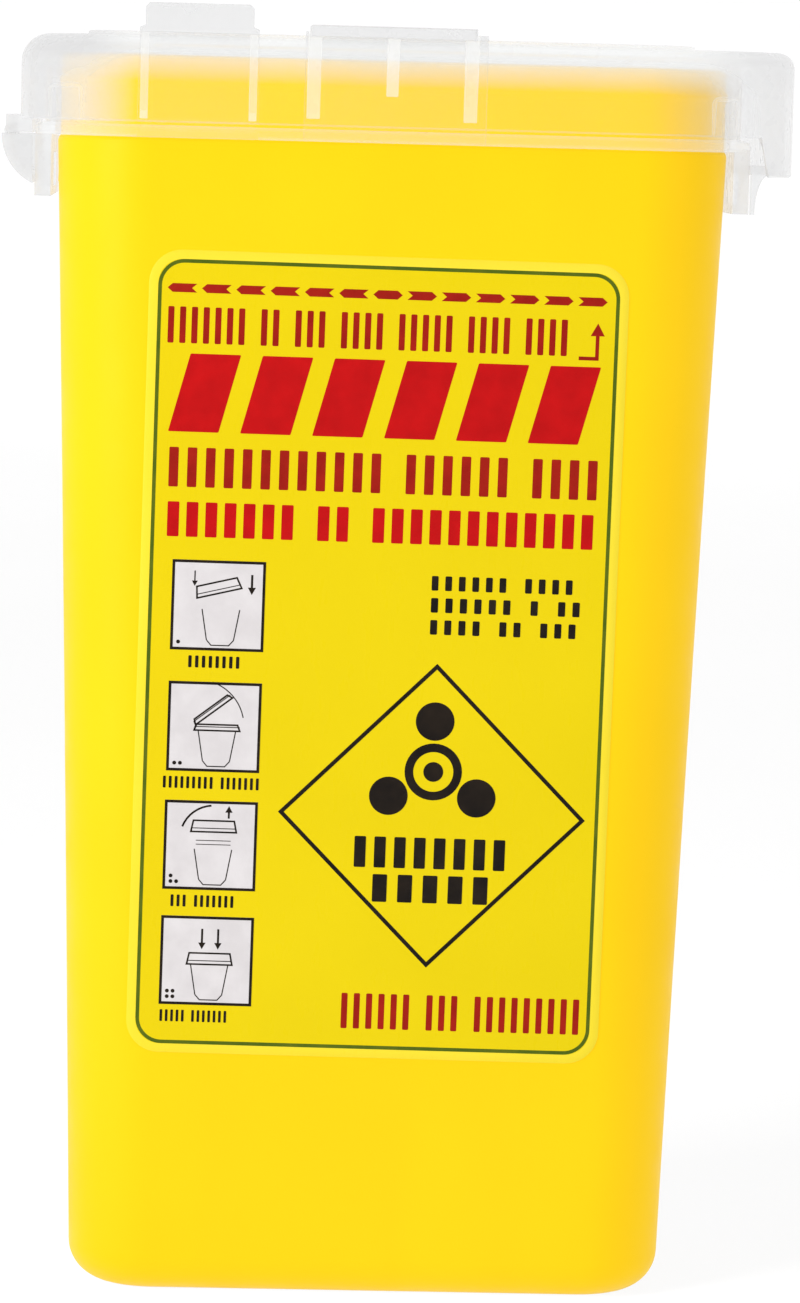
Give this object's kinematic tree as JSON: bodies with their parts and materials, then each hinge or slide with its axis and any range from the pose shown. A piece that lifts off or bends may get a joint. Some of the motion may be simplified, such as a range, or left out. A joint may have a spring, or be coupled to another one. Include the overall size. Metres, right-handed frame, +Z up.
{
  "type": "sharps container",
  "caption": "Tapered rectangular bin with a printed front label and a translucent push-fit lid, whose end-hinged flap opens over an aperture with a needle-release notch.",
  "frame": {"origin": "centre of the bin's flat underside, which is the base mount", "axes": "+Z up, front and label face -Y, flap hinge at the -X end, +X to the right seen from the front"},
  "size_m": [0.1177, 0.0822, 0.1936],
  "materials": {
    "bin_plastic": "satin moulded yellow polypropylene",
    "label_film": "printed self-adhesive film",
    "lid_plastic": "milky translucent polypropylene"
  },
  "bodies": {
    "bin": {"bin_shell": "bin_plastic", "front_label": "label_film"},
    "lid": {"lid_frame": "lid_plastic", "hinge_wing": "lid_plastic", "catch_shelf": "lid_plastic"},
    "flap": {"flap_cap": "lid_plastic", "flap_plug": "lid_plastic", "lock_prong_front": "lid_plastic", "lock_prong_back": "lid_plastic", "press_lip": "lid_plastic"},
    "release_tab": {"release_tab": "lid_plastic"}
  },
  "joints": [
    {"name": "lid_lift", "type": "slide", "parent": "bin", "child": "lid", "axis": [0, 0, 1], "range_m": [0, 0.03]},
    {"name": "flap_hinge", "type": "hinge", "parent": "lid", "child": "flap", "pos_m": [-0.058, 0, 0.1746], "axis": [0, -1, 0], "range_deg": [0, 165]},
    {"name": "release_tab_hinge", "type": "hinge", "parent": "lid", "child": "release_tab", "pos_m": [-0.0293, -0.0393, 0.1763], "axis": [1, 0, 0], "range_deg": [0, 22], "stiffness_Nm_per_rad": 0.05}
  ]
}
